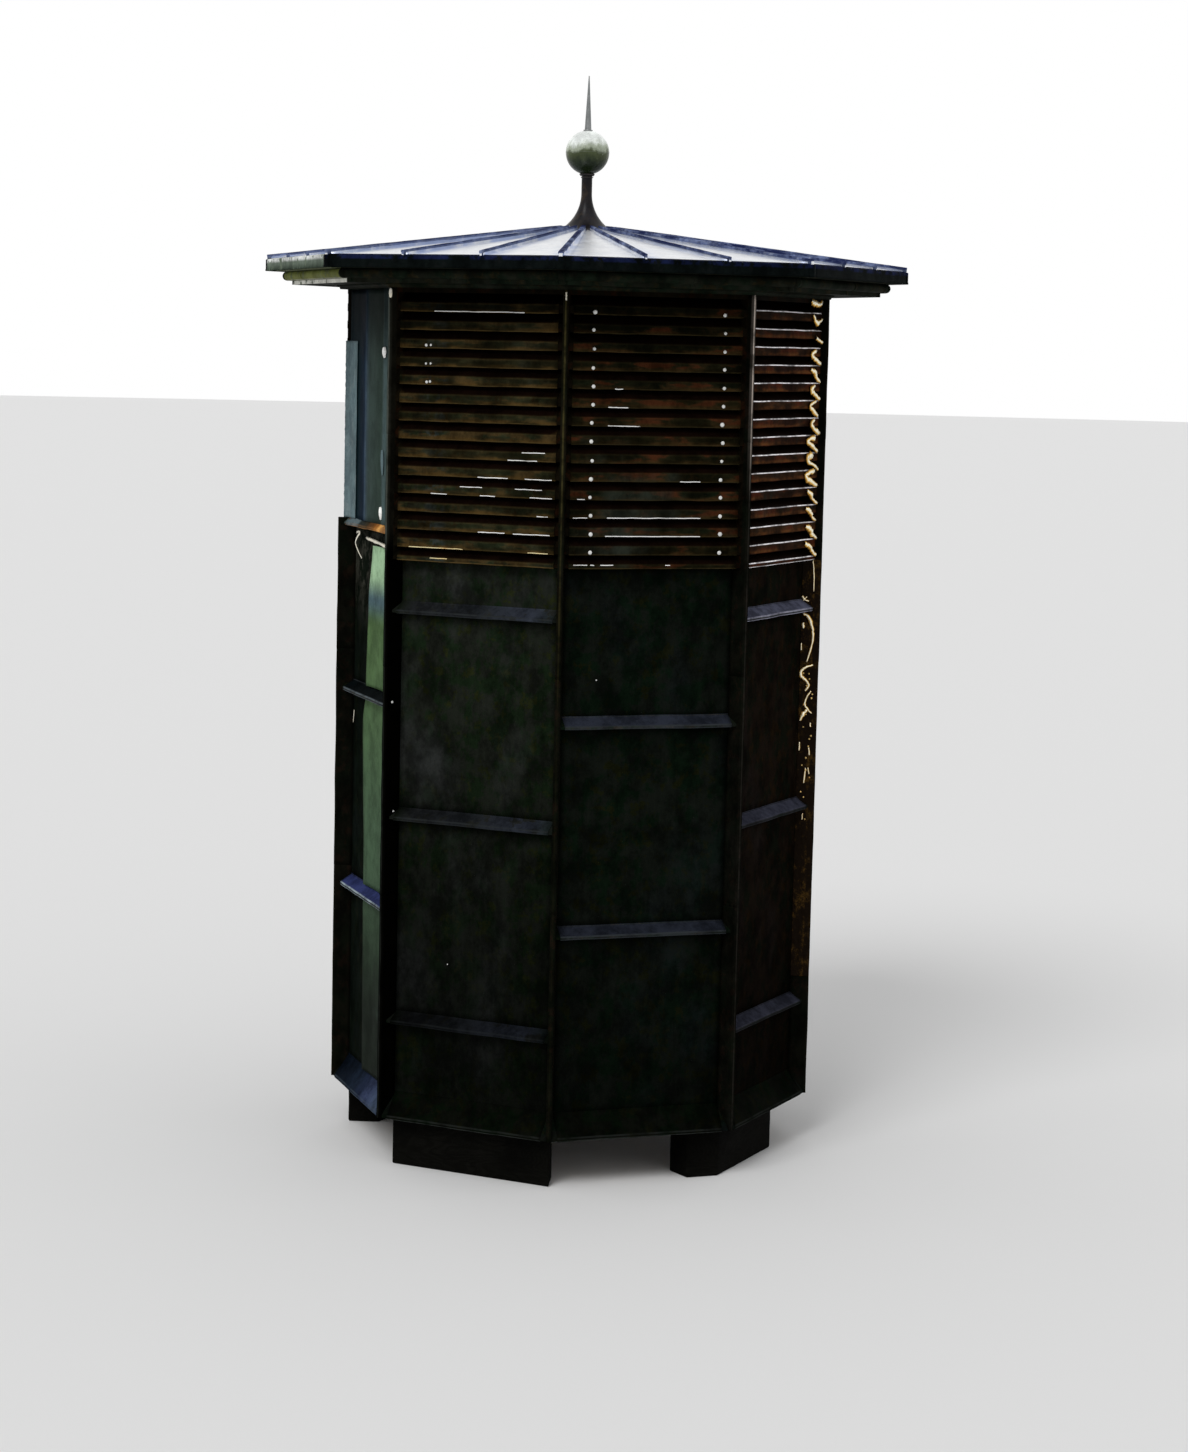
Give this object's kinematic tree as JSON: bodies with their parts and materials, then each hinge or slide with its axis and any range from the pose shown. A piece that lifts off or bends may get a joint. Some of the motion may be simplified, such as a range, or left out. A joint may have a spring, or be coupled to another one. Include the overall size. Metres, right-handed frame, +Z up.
{
  "type": "octagonal louvred cupola",
  "caption": "Octagonal roof cupola with boarded copper-clad walls, drip ribs, a louvred lantern, moulded cornice, low seamed roof and ball finial, on timber plinth blocks.",
  "frame": {"origin": "on the ground, on the cupola's vertical axis", "axes": "+Z up; -Y is the outward normal of the front wall; +X to the right of that wall seen from outside"},
  "size_m": [2.44, 2.44, 4.4015],
  "materials": {
    "wall_copper": "dark patinated copper sheet, oil-canned",
    "fin_copper": "brown weathered copper edge",
    "louvre_copper": "brown copper sheet with bright folds",
    "bare_sheet": "smooth grey-green sheet",
    "pale_strip": "pale blue-grey, matt",
    "cornice_copper": "dark copper moulding",
    "roof_sheet": "smooth weathered roofing sheet",
    "finial_copper": "dark spun copper",
    "ball_metal": "dull polished",
    "spike_metal": "dull grey",
    "frame_timber": "sawn softwood",
    "block_timber": "dark damp sawn timber"
  },
  "bodies": {
    "root": {"block_front_left": "block_timber", "block_front_right": "block_timber", "block_back_right": "block_timber", "block_back_left": "block_timber", "sole_ring": "frame_timber", "post_1": "frame_timber", "post_2": "frame_timber", "post_3": "frame_timber", "post_4": "frame_timber", "post_5": "frame_timber", "post_6": "frame_timber", "post_7": "frame_timber", "post_8": "frame_timber", "fin_1": "fin_copper", "fin_2": "fin_copper", "fin_3": "fin_copper", "fin_4": "fin_copper", "fin_5": "fin_copper", "fin_6": "fin_copper", "fin_7": "fin_copper", "fin_8": "fin_copper", "edge_strip": "pale_strip", "wall_front": "wall_copper", "wall_front_right": "wall_copper", "wall_right": "wall_copper", "wall_back_right": "wall_copper", "wall_back": "wall_copper", "wall_back_left": "wall_copper", "wall_left": "wall_copper", "wall_front_left": "wall_copper", "louvres_front": "louvre_copper", "louvres_front_right": "louvre_copper", "louvres_right": "louvre_copper", "louvres_back_right": "louvre_copper", "louvres_back": "louvre_copper", "louvres_back_left": "louvre_copper", "louvres_front_left": "louvre_copper", "blank_sheet": "bare_sheet", "head_ring": "frame_timber", "soffit": "cornice_copper", "cornice": "cornice_copper", "roof": "roof_sheet", "finial_foot": "finial_copper", "finial_ball": "ball_metal", "finial_spike": "spike_metal"}
  },
  "joints": []
}
